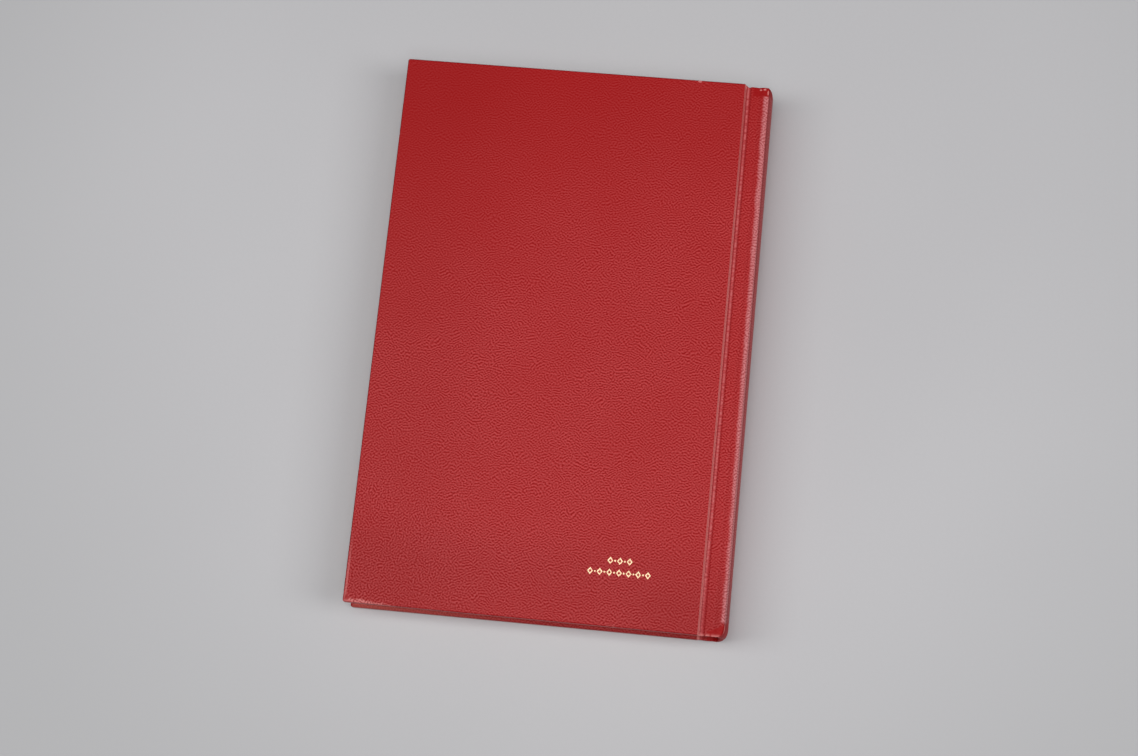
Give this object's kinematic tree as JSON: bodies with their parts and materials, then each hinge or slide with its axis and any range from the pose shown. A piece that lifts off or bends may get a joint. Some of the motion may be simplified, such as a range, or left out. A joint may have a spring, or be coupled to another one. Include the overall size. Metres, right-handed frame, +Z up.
{
  "type": "hardback book",
  "caption": "Case-bound hardback book in grained red imitation leather, rounded spine and pressed joints, both covers hinged, lying on its front cover.",
  "frame": {"origin": "on the surface that the book lies on, under the middle of its box", "axes": "+X from the fore edge to the spine, +Y from tail to head, +Z up from the front cover to the back cover"},
  "size_m": [0.1322, 0.197, 0.0204],
  "materials": {
    "leatherette": "grained, semi-gloss",
    "greyboard": "matt",
    "leaves": "matt, cut edges",
    "endpaper": "matt",
    "gauze": "open weave, glued",
    "lining_paper": "matt",
    "band": "woven",
    "strip_card": "matt"
  },
  "bodies": {
    "block": {"text_block": "leaves", "front_flyleaf": "endpaper", "back_flyleaf": "endpaper", "mull": "gauze", "spine_lining": "lining_paper", "head_band": "band", "tail_band": "band", "spine_strip": "strip_card", "spine_covering": "leatherette"},
    "front_cover": {"front_board": "greyboard", "front_covering": "leatherette", "front_hinge_cloth": "gauze", "front_pastedown": "endpaper"},
    "back_cover": {"back_board": "greyboard", "back_covering": "leatherette", "back_hinge_cloth": "gauze", "back_pastedown": "endpaper"}
  },
  "joints": [
    {"name": "back_cover_hinge", "type": "hinge", "parent": "block", "child": "back_cover", "pos_m": [0.05715, 0, 0.0204], "axis": [0, 1, 0], "range_deg": [0, 180]},
    {"name": "front_cover_hinge", "type": "hinge", "parent": "block", "child": "front_cover", "pos_m": [0.05715, 0, 0], "axis": [0, -1, 0], "range_deg": [0, 180]}
  ]
}
